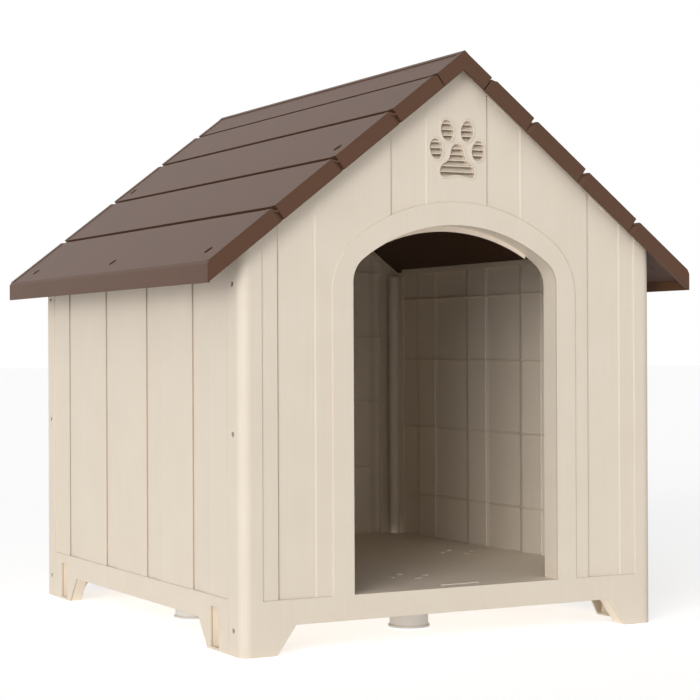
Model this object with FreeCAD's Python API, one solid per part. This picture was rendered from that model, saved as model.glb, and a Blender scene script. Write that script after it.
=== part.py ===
import FreeCAD
import Part

import math
import os

# ---------------------------------------------------------------- driving dimensions, mm
body_width = 662.0            # outside of the walls, across the front
body_depth = 765.0            # outside of the walls, front to rear
corner_radius = 15.0          # rounded upright corners
wall_skin = 2.8               # moulded wall thickness
plank_skin = 2.6              # thickness behind the moulded planks
joint_gap = 0.3               # clearance where two mouldings lie side by side
corner_wrap = 42.0            # how far the gable walls wrap round onto the sides
edge_flange = 25.0            # depth of the flange round each gable wall and of the sill
shelf_depth = 40.0            # depth of the shelf the floor lies on
rail_height = 39.0            # ground to the underside of the rails
sill_height = 72.8            # ground to the door sill and the foot of the planks
front_leg_foot = 51.0         # leg width on the gable walls, at the ground
front_leg_splay = 28.0        # how much wider that leg is at the rail
side_leg_foot = 110.0         # leg width on the side walls, at the ground
side_leg_splay = 30.0         # how much wider that leg is at the rail
side_leg_return = 20.0        # depth of the flange round the foot of a side wall

ridge_height = 810.0          # ground to the ridge
roof_pitch = 37.6             # degrees
eave_overhang = 55.0          # walls to the outer face of an eave
roof_overhang = 20.0          # roof beyond the walls, front and rear
eave_drop = 26.5              # height of the eave fascia
roof_skin = 2.6               # thickness of the roof shell
fascia_depth = 21.4           # roof edge, measured square to the slope
cap_fascia_depth = 21.2       # the same at the ridge cap
fascia_thickness = 5.5        # gable-end fascia
eave_thickness = 3.2          # eave fascia
eave_chamfer = 3.0            # eased top edge of the eave
cap_width = 56.0              # ridge cap, apex to its edge along the slope
cap_edge_gap = 1.8            # open joint between the cap's fascia and a panel's
cap_bead = 6.5                # raised strip along each side of the ridge
cap_bead_height = 1.3
cap_step = 1.1                # step from the cap's face down to the first plank
rim_width = 11.0              # raised rims along the gable ends of the roof
rim_height = 0.9
cap_overlap = 22.0            # length of the panel's tongue that lies under the cap
course_ends = [143.0, 253.5, 365.5]   # lower edges of the roof planks, along the slope
course_step = 6.6             # depth of the step between two roof planks
course_ramp = 7.5             # length over which the next plank rises again
fascia_groove = 3.5           # depth of the groove between planks on the fascia
fascia_groove_length = 8.4
liner_thickness = 2.4         # flat board under the roof shell
liner_gap = 0.4               # shell to liner, and liner to the tops of the walls
liner_edge_gap = 0.6          # liner to the fascias round it

field_margin = 31.0           # flush margin beside the planked field of a gable wall
field_recess = 1.2            # boards lie this far behind the flush margins
plank_step = 2.2              # depth of the sharp step at the edge of a board
seam_width = 1.4              # narrow groove at the foot of that step
seam_depth = 2.0
wedge_end_depth = 0.8         # depth left where the wedge strip meets the next board
wedge_end_width = 2.5         # width of that soft step
wedge_width = 57.0            # strip between a sharp step and the next board
seam_back_slope = 14.0        # length over which the inner face swells behind a step
gable_step_share = [-0.924, -0.3515, 0.160, 0.726]     # of half the field, front view
side_step_share = [-0.8015, -0.320, 0.1595, 0.6495]      # of half the field, rear to front
border_width = 3.0            # rib that closes the edge of a planked field

door_half_width = 164.5
door_crown_radius = 250.0
door_shoulder_radius = 40.0
surround_band = 31.5          # flat band beside the doorway
surround_band_top = 32.0      # the same above the arch
door_below_vent = 71.8        # top of the band to the paw vent's outer toes
surround_crown_extra = 20.0   # its outer radii are larger than the doorway's
surround_shoulder_extra = 55.0
jamb_depth = 34.0             # depth of the doorway's sides and arch
jamb_rise = 0.5               # their rear part above the floor
visor_drop = 7.0              # lip that hangs inside the top of the arch
visor_radius_extra = 14.0
visor_share = 0.80            # width of the lip, of the doorway
visor_reach = 52.0            # lowest part of the lip below the top of the doorway

vent_below_apex = 119.05      # outer toes of the paw vent below the gable's apex
toe_lift = 26.3               # inner toes above the outer toes
toe_offset = 16.0
toe_size = (19.5, 29.2)
outer_toe_offset = 33.8
outer_toe_size = (20.0, 28.4)
toe_tilt = 9.0
pad_half = [(0.0, 7.9), (5.2, 6.6), (8.6, 3.1), (10.6, -3.8), (12.6, -10.5), (16.4, -16.1),
            (22.4, -19.9), (26.6, -24.5), (28.2, -29.9), (27.0, -34.9), (23.2, -37.7),
            (17.0, -37.3), (9.0, -35.4), (0.0, -34.7)]     # half outline of the main pad
vent_rim_width = 2.6
vent_rim_height = 0.8
louvre_pitch = 8.0
louvre_thickness = 1.5
louvre_rake = 45.0            # degrees
louvre_reach = 9.5
insert_plate = 2.2            # plate of the louvre insert
insert_below = 44.3           # plate below and above the outer toes
insert_above = 47.2
insert_half_width = 44.8
insert_peg_radius = 1.6       # moulded pegs that locate the insert
insert_peg_inset = 4.0
insert_rim = 1.1              # low wall behind each opening of the insert
insert_rim_depth = 2.6

low_screw_height = 33.5
middle_screw_height = 290.0
high_screw_drop = 52.6        # top corner screw below the wall's upper edge
screw_from_corner = 26.2
screw_hole_radius = 3.6
screw_head_gap = 0.4
screw_head_height = 2.0
post_radius = 9.0             # upright screw post inside each corner
post_wall = 3.2               # the post is hollow
post_foot = 8.0               # the posts start this far above the ground
post_pilot_radius = 1.6
corner_screw_length = 14.0
thread_gap = 0.02             # screws in their pilot holes
eave_screw_edge = 28.9        # eave row above the lower edge, along the slope
eave_screw_pitch = 343.6
eave_screw_shift = -10.2      # the row's middle, forward of the house's
gable_screw_s = 228.4         # gable screws, along the slope from the ridge
gable_screw_front = 12.5      # behind the front wall's face
gable_screw_rear = 17.5       # ahead of the rear wall's face
roof_recess_radius = 6.7
roof_recess_depth = 4.2
roof_boss_wall = 2.8
roof_screw_radius = 2.2
roof_screw_head_radius = 4.6
roof_screw_head_height = 2.6
roof_screw_clearance = 0.5
screw_tip_gap = 0.3           # the eave screws end this far inside the liner
gable_screw_bite = 13.0       # length of a gable screw in the wall's boss
boss_radius = 6.0
boss_floor = 2.0              # closed end of a boss
snap_post_radius = 3.8        # the cap's snap posts
snap_clearance = 0.5
snap_hold = 0.9               # how far a snap head overlaps its hole
snap_from_edge = 12.0
snap_from_end = 102.5

floor_thickness = 3.0
floor_drop = 0.2              # floor below the door sill
floor_gap = 2.0               # floor to the walls' inner faces
floor_seat_gap = 0.3          # skirt to the shelf
floor_rib_thickness = 2.4
floor_tab_left = -13.0        # locating tab behind the sill
floor_tab_right = 48.0
floor_tab_depth = 4.0
floor_tab_height = 1.6
foot_radius = 28.0
foot_flange = 2.0             # flange beyond the foot's wall
foot_flange_thickness = 3.0
foot_wall = 3.0
foot_clearance = 1.5          # the feet hang just clear of the ground
foot_socket_wall = 3.4
foot_socket_depth = 22.0
foot_share_x = 0.70           # left and right feet, of half the width
foot_share_y = 0.634          # front and rear feet, of half the depth
foot_tab_width = 8.0
foot_tab_thickness = 2.3
foot_tab_head = 3.0
foot_tab_top = 0.9            # thickness of a tab's head above the floor

side_rib_share = [0.154, 0.410, 0.663, 0.894]     # heights of inner ribs, sill to wall top
gable_rib_share = [0.162, 0.3256, 0.486, 0.649]
rib_thickness = 2.2
upright_rib_back = 9.0        # upright inner ribs, behind the end of each wedge strip
upright_rib_projection = 1.5
rib_projection = 3.6          # how far the inner ribs stand off the wall
top_rail_height = 9.5         # straight rail inside the top of a side wall
pocket_near = 72.5            # leg pockets on the side walls, from the corner
pocket_width = 27.5
pocket_bottom = 4.0
pocket_height = 54.0
pocket_depth_top = 6.5
pocket_depth_bottom = 15.0

# ---------------------------------------------------------------- derived values
half_w = body_width / 2.0
half_d = body_depth / 2.0
pitch = math.radians(roof_pitch)
sin_p = math.sin(pitch)
cos_p = math.cos(pitch)
tan_p = math.tan(pitch)
roof_half_depth = half_d + roof_overhang
roof_half_width = half_w + eave_overhang
eave_edge_z = ridge_height - roof_half_width * tan_p
eave_bottom = eave_edge_z - eave_drop
eave_edge_s = roof_half_width / cos_p
liner_depth = course_step + roof_skin + liner_gap
liner_bottom = liner_depth + liner_thickness
wall_top_depth = liner_bottom + liner_gap
wall_apex = ridge_height - wall_top_depth / cos_p
wall_eave = wall_apex - half_w * tan_p
tongue_start = cap_width - cap_overlap
field_half_width = half_w - field_margin
side_field_half = half_d - corner_wrap
gable_steps = [share * field_half_width for share in gable_step_share]
side_steps = [share * side_field_half for share in side_step_share]
plank_low = field_recess + plank_step
seam_low = plank_low + seam_depth
border_depth = seam_low + plank_skin + 0.8
surround_half_width = door_half_width + surround_band
paw_height = wall_apex - vent_below_apex
surround_top = paw_height - door_below_vent
door_top = surround_top - surround_band_top
surround_crown_radius = door_crown_radius + surround_crown_extra
surround_shoulder_radius = door_shoulder_radius + surround_shoulder_extra
visor_top = door_top - visor_drop
visor_radius = door_crown_radius + visor_radius_extra
visor_half_width = door_half_width * visor_share
jamb_rounding = wall_skin - 0.2
insert_y = -half_d + field_recess + plank_skin + joint_gap
screw_height = [low_screw_height, middle_screw_height, wall_eave - high_screw_drop]
post_x = half_w - wall_skin - joint_gap - post_radius
post_y = half_d - screw_from_corner
post_top = wall_eave - 6.0
eave_screw_s = eave_edge_s - eave_screw_edge
eave_screw_y = [eave_screw_shift + step * eave_screw_pitch for step in (-1, 0, 1)]
gable_screw_y = [-half_d + gable_screw_front, half_d - gable_screw_rear]
snap_post_s = cap_width - snap_from_edge
snap_post_y = [-roof_half_depth + snap_from_end, 0.0, roof_half_depth - snap_from_end]
snap_hole_radius = snap_post_radius + snap_clearance
snap_head_radius = snap_hole_radius + snap_hold
floor_top = sill_height - floor_drop
floor_rib_bottom = rail_height + wall_skin + floor_seat_gap
foot_x = foot_share_x * half_w
foot_y = foot_share_y * half_d
side_rib_heights = [sill_height + share * (wall_eave - sill_height) for share in side_rib_share]
gable_rib_heights = [sill_height + share * (wall_apex - sill_height)
                     for share in gable_rib_share]


# ---------------------------------------------------------------- small builders
def vec(x, y, z):
    return FreeCAD.Vector(x, y, z)


def prism(points, along):
    """Solid swept from a flat polygon, given as 3-D points, along a vector."""
    wire = Part.makePolygon([vec(*p) for p in points] + [vec(*points[0])])
    return Part.Face(wire).extrude(vec(*along))


def box(x0, x1, y0, y1, z0, z1):
    return Part.makeBox(x1 - x0, y1 - y0, z1 - z0, vec(x0, y0, z0))


def rod(radius, start, end):
    """Round bar between two points."""
    axis = end.sub(start)
    return Part.makeCylinder(radius, axis.Length, start, axis)


def joined(shapes):
    """One solid from shapes that overlap or share faces."""
    first = shapes[0]
    result = first.fuse(shapes[1:]) if len(shapes) > 1 else first
    return result.removeSplitter()


def mirrored_x(shape):
    return shape.mirror(vec(0, 0, 0), vec(1, 0, 0))


def turned(shape):
    """Half turn about the upright centre line: a front piece becomes a rear one."""
    copy = shape.copy()
    copy.rotate(vec(0, 0, 0), vec(0, 0, 1), 180.0)
    return copy


def slope_point(s, d, y, side=-1.0):
    """Point on the roof: s down the slope from the ridge, d below its surface."""
    x = s * cos_p - d * sin_p
    z = ridge_height - s * sin_p - d * cos_p
    return vec(side * x, y, z)


def slope_xz(s, d):
    point = slope_point(s, d, 0.0)
    return (point.x, 0.0, point.z)


# ---------------------------------------------------------------- elevations
def arch_face(half_width, base, top, crown, shoulder, y):
    """Upright opening with a flattened three-centred arch, in the plane y."""
    sin_a = (half_width - shoulder) / (crown - shoulder)
    cos_a = math.sqrt(1.0 - sin_a * sin_a)
    crown_z = top - crown
    shoulder_z = crown_z + (crown - shoulder) * cos_a
    shoulder_x = half_width - shoulder
    join_x = crown * sin_a
    join_z = crown_z + crown * cos_a
    mid_angle = math.radians((90.0 + math.degrees(math.asin(sin_a))) / 2.0)
    mid_x = shoulder_x + shoulder * math.sin(mid_angle)
    mid_z = shoulder_z + shoulder * math.cos(mid_angle)
    edges = [
        Part.makeLine(vec(half_width, y, base), vec(half_width, y, shoulder_z)),
        Part.Arc(vec(half_width, y, shoulder_z), vec(mid_x, y, mid_z),
                 vec(join_x, y, join_z)).toShape(),
        Part.Arc(vec(join_x, y, join_z), vec(0, y, top), vec(-join_x, y, join_z)).toShape(),
        Part.Arc(vec(-join_x, y, join_z), vec(-mid_x, y, mid_z),
                 vec(-half_width, y, shoulder_z)).toShape(),
        Part.makeLine(vec(-half_width, y, shoulder_z), vec(-half_width, y, base)),
        Part.makeLine(vec(-half_width, y, base), vec(half_width, y, base)),
    ]
    return Part.Face(Part.Wire(edges))


def door_face(grow, y):
    """The doorway, made larger all round by grow."""
    return arch_face(door_half_width + grow, sill_height - grow, door_top + grow,
                     door_crown_radius + grow, door_shoulder_radius + grow, y)


def surround_face(grow, y):
    """The flat band round the doorway, made larger all round by grow."""
    return arch_face(surround_half_width + grow, sill_height - 2.0, surround_top + grow,
                     surround_crown_radius + grow, surround_shoulder_radius + grow, y)


def gable_outline(inset, y):
    """Outline of a gable wall with its legs, in the plane y, moved in by inset."""
    rise = front_leg_splay / rail_height
    side = half_w - inset
    foot = half_w - front_leg_foot + inset * (math.sqrt(1.0 + rise * rise) - rise)
    rail = foot - front_leg_splay
    side_top = wall_eave - inset / cos_p + inset * tan_p
    apex = wall_apex - inset / cos_p
    points = [
        (-side, y, inset), (-foot, y, inset), (-rail, y, rail_height + inset),
        (rail, y, rail_height + inset), (foot, y, inset), (side, y, inset),
        (side, y, side_top), (0.0, y, apex), (-side, y, side_top),
    ]
    return points


# ---------------------------------------------------------------- moulded planks
def plank_section(steps, first, last):
    """Outer and inner lines of a planked skin as (position, depth) pairs.

    Each board ends in a sharp step with a narrow groove at its foot; a wedge strip
    then rises to the next board."""
    outer = [(first, field_recess)]
    inner = [(first, field_recess + plank_skin)]
    low = plank_low
    for step in steps:
        far = step + wedge_width
        turn = step + seam_width
        outer.append((step, field_recess))
        outer.append((step, seam_low))
        outer.append((turn, seam_low))
        outer.append((turn, low))
        outer.append((far - wedge_end_width, field_recess + wedge_end_depth))
        outer.append((far, field_recess))
        inner.append((step - seam_back_slope, field_recess + plank_skin))
        inner.append((step - plank_skin / 2.0, seam_low + plank_skin))
        inner.append((turn + plank_skin / 2.0, seam_low + plank_skin))
        inner.append((far - wedge_end_width, field_recess + wedge_end_depth + plank_skin))
        inner.append((far, field_recess + plank_skin))
    outer.append((last, field_recess))
    inner.append((last, field_recess + plank_skin))
    return outer, inner[::-1]


def ribbed_section(outer, inner, projection):
    """Section of a planked skin where an inner rib of that projection crosses it."""
    return outer + [(position, depth + projection) for position, depth in inner]


def upright_places(steps):
    """Where the upright inner ribs stand, one behind each wedge strip."""
    return [step + wedge_width - upright_rib_back for step in steps]


# ---------------------------------------------------------------- gable walls
def wrapped_skin():
    """Flush wall skin that wraps round both upright corners, full height."""
    yf = -half_d
    r = corner_radius
    ri = r - wall_skin
    w = half_w
    t = wall_skin
    c = math.cos(math.radians(45.0))
    end = yf + corner_wrap
    edges = [
        Part.makeLine(vec(-w, end, 0), vec(-w, yf + r, 0)),
        Part.Arc(vec(-w, yf + r, 0), vec(-w + r - r * c, yf + r - r * c, 0),
                 vec(-w + r, yf, 0)).toShape(),
        Part.makeLine(vec(-w + r, yf, 0), vec(w - r, yf, 0)),
        Part.Arc(vec(w - r, yf, 0), vec(w - r + r * c, yf + r - r * c, 0),
                 vec(w, yf + r, 0)).toShape(),
        Part.makeLine(vec(w, yf + r, 0), vec(w, end, 0)),
        Part.makeLine(vec(w, end, 0), vec(w - t, end, 0)),
        Part.makeLine(vec(w - t, end, 0), vec(w - t, yf + r, 0)),
        Part.Arc(vec(w - t, yf + r, 0), vec(w - r + ri * c, yf + r - ri * c, 0),
                 vec(w - r, yf + t, 0)).toShape(),
        Part.makeLine(vec(w - r, yf + t, 0), vec(-w + r, yf + t, 0)),
        Part.Arc(vec(-w + r, yf + t, 0), vec(-w + r - ri * c, yf + r - ri * c, 0),
                 vec(-w + t, yf + r, 0)).toShape(),
        Part.makeLine(vec(-w + t, yf + r, 0), vec(-w + t, end, 0)),
        Part.makeLine(vec(-w + t, end, 0), vec(-w, end, 0)),
    ]
    return Part.Face(Part.Wire(edges)).extrude(vec(0, 0, ridge_height))


def rounded_corner_block(depth):
    """Full-height block with the body's rounded front corners, used to trim flanges."""
    yf = -half_d
    block = box(-half_w, half_w, yf, yf + depth, -1.0, ridge_height)
    uprights = []
    for edge in block.Edges:
        a = edge.Vertexes[0].Point
        b = edge.Vertexes[1].Point
        if abs(a.z - b.z) > 100.0 and abs(a.y - yf) < 0.01:
            uprights.append(edge)
    return block.makeFillet(corner_radius, uprights)


def planked_field(y_deep, with_door):
    """Elevation prism of the planked field, from the front face back to y_deep."""
    yf = -half_d
    field = box(-field_half_width, field_half_width, yf - 5.0, y_deep, sill_height, ridge_height)
    if with_door:
        field = field.cut(surround_face(0.0, yf - 6.0).extrude(vec(0, 60.0, 0)))
    return field


def gable_wall(with_door):
    """Front or rear wall: wrapped skin, planked field, legs, flanges and floor shelf."""
    yf = -half_d
    outline = prism(gable_outline(0.0, yf - 10.0), (0, corner_wrap + 20.0, 0))
    skin = wrapped_skin().common(outline)
    field = planked_field(yf + wall_skin + 0.5, with_door)
    skin = skin.cut(field)

    outer, inner = plank_section(gable_steps, -field_half_width, field_half_width)
    plan = [(x, yf + d, sill_height) for x, d in outer + inner]
    planks = prism(plan, (0, 0, ridge_height - sill_height))
    planks = planks.common(planked_field(yf + 30.0, with_door)).common(outline)

    ring = prism(gable_outline(0.0, yf), (0, edge_flange, 0))
    ring = ring.cut(prism(gable_outline(wall_skin, yf - 1.0), (0, edge_flange + 2.0, 0)))
    ring = ring.common(rounded_corner_block(edge_flange))
    field_open = box(-field_half_width, field_half_width, yf - 1.0, yf + field_recess,
                     sill_height, ridge_height)
    ring = ring.cut(field_open)
    shelf_half = half_w - front_leg_foot - front_leg_splay
    shelf = box(-shelf_half, shelf_half, yf, yf + shelf_depth, rail_height,
                rail_height + wall_skin)

    borders = []
    w = field_half_width
    b = border_width
    bottom = [(-w - b, w + b)]
    if with_door:
        bottom = [(-w - b, -surround_half_width + b), (surround_half_width - b, w + b)]
    for x0, x1 in bottom:
        borders.append(box(x0, x1, yf, yf + border_depth, sill_height - b, sill_height))
    for x0, x1 in ((-w - b, -w), (w, w + b)):
        borders.append(box(x0, x1, yf, yf + border_depth, sill_height - b, ridge_height))
    if with_door:
        arch = surround_face(0.0, yf).extrude(vec(0, border_depth, 0))
        arch = arch.cut(surround_face(-b, yf - 1.0).extrude(vec(0, border_depth + 2.0, 0)))
        borders.append(arch.common(box(-half_w, half_w, yf, yf + 50.0, sill_height, ridge_height)))
    borders = [item.common(outline) for item in borders]

    levels = []
    for height in gable_rib_heights:
        reach = min(field_half_width, (wall_apex - height) / tan_p - 20.0)
        levels.append(box(-reach, reach, yf, yf + edge_flange, height, height + rib_thickness))
    uprights = []
    for x in upright_places(gable_steps):
        top = wall_apex - abs(x) * tan_p - 12.0
        uprights.append(box(x, x + rib_thickness, yf, yf + edge_flange, sill_height, top))
    ribs = []
    for boxes, projection in ((levels, rib_projection), (uprights, upright_rib_projection)):
        plan = [(x, yf + d, sill_height) for x, d in ribbed_section(outer, inner, projection)]
        ribbed = prism(plan, (0, 0, ridge_height))
        ribs += [item.common(ribbed) for item in boxes]

    wall = joined([skin, planks, ring, shelf] + borders + ribs)
    if with_door:
        wall = wall.cut(door_face(0.0, yf - 5.0).extrude(vec(0, 80.0, 0)))
        wall = wall.cut(door_face(wall_skin, yf + wall_skin).extrude(vec(0, 80.0, 0)))
        wall = joined([wall, door_jamb()])
    return with_screw_holes(wall)


def door_jamb():
    """Flange through the thickness of the doorway, eased at the front, with its visor."""
    yf = -half_d
    tube = door_face(wall_skin, yf).extrude(vec(0, jamb_depth, 0))
    tube = tube.cut(door_face(0.0, yf - 1.0).extrude(vec(0, jamb_depth + 2.0, 0)))
    tube = tube.cut(box(-half_w, half_w, yf + edge_flange, yf + jamb_depth + 1.0, 0.0,
                        floor_top + jamb_rise))
    band = surround_face(-border_width - 1.0, yf).extrude(vec(0, wall_skin, 0))
    band = band.cut(door_face(0.0, yf - 1.0).extrude(vec(0, wall_skin + 2.0, 0)))
    band = band.cut(box(-half_w, half_w, yf - 1.0, yf + 10.0, 0.0, sill_height))
    frame = joined([tube, band])
    soft = []
    for edge in frame.Edges:
        centre = edge.BoundBox.Center
        inside = abs(centre.x) < door_half_width + 1.0 and centre.z < door_top + 1.0
        if abs(edge.BoundBox.YMin - yf) < 0.01 and abs(edge.BoundBox.YMax - yf) < 0.01:
            if inside and on_door_edge(edge):
                soft.append(edge)
    frame = frame.makeFillet(jamb_rounding, soft)
    y0 = yf + jamb_depth - wall_skin
    blade = door_face(1.0, y0).extrude(vec(0, wall_skin, 0))
    keep = box(-visor_half_width, visor_half_width, y0 - 1.0, y0 + 20.0,
               door_top - visor_reach, door_top + 20.0)
    below = rod(visor_radius, vec(0, y0 - 1.0, visor_top - visor_radius),
                vec(0, y0 + 20.0, visor_top - visor_radius))
    blade = blade.common(keep).cut(below)
    return joined([frame, blade])


def on_door_edge(edge):
    """True for an edge of the doorway itself, above the sill's ends."""
    for vertex in edge.Vertexes:
        inside = door_face(0.4, vertex.Y).isInside(vertex.Point, 0.05, True)
        outside = door_face(-0.4, vertex.Y).isInside(vertex.Point, 0.05, True)
        if not inside or outside:
            return False
    return True


def with_screw_holes(wall):
    """Clearance holes for the corner screws, through both wrapped edges."""
    y = -half_d + screw_from_corner
    cuts = []
    for z in screw_height:
        for side in (-1.0, 1.0):
            start = vec(side * (half_w + 2.0), y, z)
            cuts.append(rod(screw_hole_radius, start, vec(side * (half_w - 8.0), y, z)))
    return wall.cut(cuts)


def gable_bosses(wall, rows):
    """Bosses under the sloping flanges for the long roof screws; rows are (y, side)."""
    bosses = []
    holes = []
    for y, side in rows:
        top = slope_point(gable_screw_s, wall_top_depth, y, side)
        deep = slope_point(gable_screw_s, wall_top_depth + gable_screw_bite + 2.0 * boss_floor,
                           y, side)
        above = slope_point(gable_screw_s, wall_top_depth - 5.0, y, side)
        end = slope_point(gable_screw_s, wall_top_depth + gable_screw_bite + boss_floor, y, side)
        bosses.append(rod(boss_radius, top, deep))
        holes.append(rod(roof_screw_radius + thread_gap, above, end))
    return joined([wall] + bosses).cut(holes)


def insert_room():
    """Space kept free behind the front wall for the louvre insert."""
    gap = 2.0 * joint_gap
    return box(-insert_half_width - gap, insert_half_width + gap,
               insert_y - joint_gap, insert_y + louvre_reach + 10.0,
               paw_height - insert_below - gap, paw_height + insert_above + gap)


def front_panel():
    wall = gable_wall(True).cut(insert_room())
    y = gable_screw_y[0]
    wall = gable_bosses(wall, [(y, -1.0), (y, 1.0)])
    rims = []
    cuts = []
    yb = -half_d + field_recess
    for face, wide in paw_faces(yb - vent_rim_height, 0.0, vent_rim_width):
        rims.append(wide.extrude(vec(0, vent_rim_height + 1.0, 0)))
        cut = face.copy()
        cut.translate(vec(0, -2.0, 0))
        cuts.append(cut.extrude(vec(0, 16.0, 0)))
    deep = insert_y + insert_plate + insert_peg_radius
    pegs = [rod(insert_peg_radius, vec(x, insert_y - joint_gap - 1.0, z), vec(x, deep, z))
            for x, z in insert_pegs()]
    return joined([wall] + rims + pegs).cut(cuts)


def rear_panel():
    wall = gable_wall(False)
    y = -gable_screw_y[1]
    wall = gable_bosses(wall, [(y, -1.0), (y, 1.0)])
    return turned(wall)


# ---------------------------------------------------------------- paw vent
def toe_face(x, z, size, tilt, grow, y):
    """Oval in the plane y, leaning by tilt degrees."""
    major = size[1] / 2.0 + grow
    minor = size[0] / 2.0 + grow
    oval = Part.Ellipse(vec(0, 0, 0), major, minor).toShape()
    face = Part.Face(Part.Wire([oval]))
    face.rotate(vec(0, 0, 0), vec(0, 0, 1), 90.0)
    face.rotate(vec(0, 0, 0), vec(1, 0, 0), 90.0)
    face.rotate(vec(0, 0, 0), vec(0, 1, 0), tilt)
    face.translate(vec(x, y, z))
    return face


def pad_face(grow, y):
    """Bell-shaped main pad of the paw in the plane y, made larger all round by grow."""
    halves = []
    for side in (1.0, -1.0):
        points = []
        for index, (px, pz) in enumerate(pad_half):
            before = pad_half[max(index - 1, 0)]
            after = pad_half[min(index + 1, len(pad_half) - 1)]
            along = vec(after[0] - before[0], 0, after[1] - before[1])
            if index in (0, len(pad_half) - 1):
                along = vec(1.0 if index == 0 else -1.0, 0, 0)
            along.normalize()
            points.append(vec(side * (px - along.z * grow), y,
                              paw_height + pz + along.x * grow))
        curve = Part.BSplineCurve()
        curve.interpolate(points if side > 0.0 else points[::-1])
        halves.append(curve.toShape())
    return Part.Face(Part.Wire(halves))


def paw_faces(y, grow, rim):
    """Pairs of faces in the plane y: each opening, and the same with its rim."""
    pairs = []
    for side in (-1.0, 1.0):
        tilt = side * toe_tilt
        for x, z, size in ((toe_offset, paw_height + toe_lift, toe_size),
                           (outer_toe_offset, paw_height, outer_toe_size)):
            pairs.append((toe_face(side * x, z, size, tilt, grow, y),
                          toe_face(side * x, z, size, tilt, grow + rim, y)))
    pairs.append((pad_face(grow, y), pad_face(grow + rim, y)))
    return pairs


def insert_pegs():
    """Places of the pegs at the corners of the louvre insert, as (x, z) pairs."""
    x = insert_half_width - insert_peg_inset
    low = paw_height - insert_below + insert_peg_inset
    high = paw_height + insert_above - insert_peg_inset
    return [(-x, low), (x, low), (-x, high), (x, high)]


def paw_vent_louvres():
    """Insert behind the paw openings: a plate with the same openings and raked slats."""
    yb = insert_y
    plate = box(-insert_half_width, insert_half_width, yb, yb + insert_plate,
                paw_height - insert_below, paw_height + insert_above)
    cuts = [rod(insert_peg_radius + joint_gap, vec(x, yb - 1.0, z), vec(x, yb + 10.0, z))
            for x, z in insert_pegs()]
    slats = []
    for opening, wide in paw_faces(yb - 1.0, 0.0, 1.0):
        cuts.append(opening.extrude(vec(0, insert_plate + 2.0, 0)))
        bounds = opening.BoundBox
        clip = opening.copy()
        clip.translate(vec(0, 1.4 - plank_skin - joint_gap, 0))
        clip = clip.extrude(vec(0, louvre_reach, 0))
        z = bounds.ZMin - louvre_pitch * 0.2
        while z < bounds.ZMax + louvre_pitch:
            slats.append(slat(bounds.XMin - 1.0, bounds.XMax + 1.0, yb, z).common(clip))
            z += louvre_pitch
    slats = [piece for piece in slats if piece.Volume > 0.5]
    rings = []
    for opening, wide in paw_faces(yb + insert_plate, 0.0, insert_rim):
        rings.append(wide.cut(opening).extrude(vec(0, insert_rim_depth, 0)))
    return joined([plate.cut(cuts)] + rings + slats)


def slat(x0, x1, y, z):
    """One raked slat: low at the front, high at the rear."""
    drop = louvre_reach * math.tan(math.radians(louvre_rake))
    y0 = y - 3.0
    y1 = y + louvre_reach - 1.0
    points = [(x0, y0, z), (x0, y1, z + drop), (x0, y1, z + drop + louvre_thickness),
              (x0, y0, z + louvre_thickness)]
    return prism(points, (x1 - x0, 0, 0))


# ---------------------------------------------------------------- side walls
def side_outline(x, inset, top):
    """Outline of a side wall between the wrapped corners, in the plane x."""
    end = side_field_half - joint_gap - inset
    rise = side_leg_splay / rail_height
    foot = half_d - side_leg_foot + inset * (math.sqrt(1.0 + rise * rise) - rise)
    rail = foot - side_leg_splay
    return [
        (x, -end, inset), (x, -foot, inset), (x, -rail, rail_height + inset),
        (x, rail, rail_height + inset), (x, foot, inset), (x, end, inset),
        (x, end, top), (x, -end, top),
    ]


def under_roof(side):
    """Everything that lies below the walls' top plane on one side of the ridge."""
    reach = roof_half_width + 60.0
    y = roof_half_depth + 20.0
    points = [(0, -y, -5.0), (side * reach, -y, -5.0),
              (side * reach, -y, wall_apex - reach * tan_p), (0, -y, wall_apex)]
    return prism(points, (0, 2.0 * y, 0))


def left_side_panel():
    """Side wall: planked skin, flush rail and legs, tongues and screw posts at the ends."""
    xf = -half_w
    field_top = wall_eave + 25.0
    outline = prism(side_outline(xf - 5.0, 0.0, field_top), (80.0, 0, 0))
    skin = box(xf, xf + wall_skin, -half_d, half_d, 0.0, sill_height).common(outline)
    outer, inner = plank_section(side_steps, -side_field_half, side_field_half)
    plan = [(xf + d, y, sill_height) for y, d in side_order(outer + inner)]
    planks = prism(plan, (0, 0, field_top - sill_height)).common(outline)
    ring = prism(side_outline(xf, 0.0, sill_height), (side_leg_return, 0, 0))
    ring = ring.cut(prism(side_outline(xf - 1.0, wall_skin, sill_height + 5.0),
                          (side_leg_return + 2.0, 0, 0)))
    ring = ring.common(box(xf, xf + 80.0, -half_d, half_d, 0.0, sill_height - 4.0))
    rail = half_d - side_leg_foot - side_leg_splay
    shelf = box(xf, xf + shelf_depth, -rail, rail, rail_height, rail_height + wall_skin)
    border = box(xf, xf + border_depth, -side_field_half, side_field_half,
                 sill_height - border_width, sill_height).common(outline)
    reach = side_field_half - 8.0
    low = wall_eave + border_depth * tan_p - top_rail_height
    top_rail = box(xf + field_recess + plank_skin - 0.4, xf + border_depth, -reach, reach,
                   low, field_top)
    top_rail = top_rail.common(behind_planks(outer))
    parts = [skin, planks, ring, shelf, border, top_rail] + side_ribs(outer, inner)
    for side in (-1.0, 1.0):
        parts += side_tongue(side)
        parts.append(leg_pocket(xf, side, wall_skin))
    cuts = []
    for side in (-1.0, 1.0):
        y = side * post_y
        cuts.append(leg_pocket(xf, side, 0.0))
        cuts.append(rod(post_radius - post_wall, vec(-post_x, y, post_foot + post_wall),
                        vec(-post_x, y, post_top + 50.0)))
        for z in screw_height:
            cuts.append(rod(post_pilot_radius, vec(xf, y, z), vec(xf + 20.0, y, z)))
    return joined(parts).cut(cuts).common(under_roof(-1.0))


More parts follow.
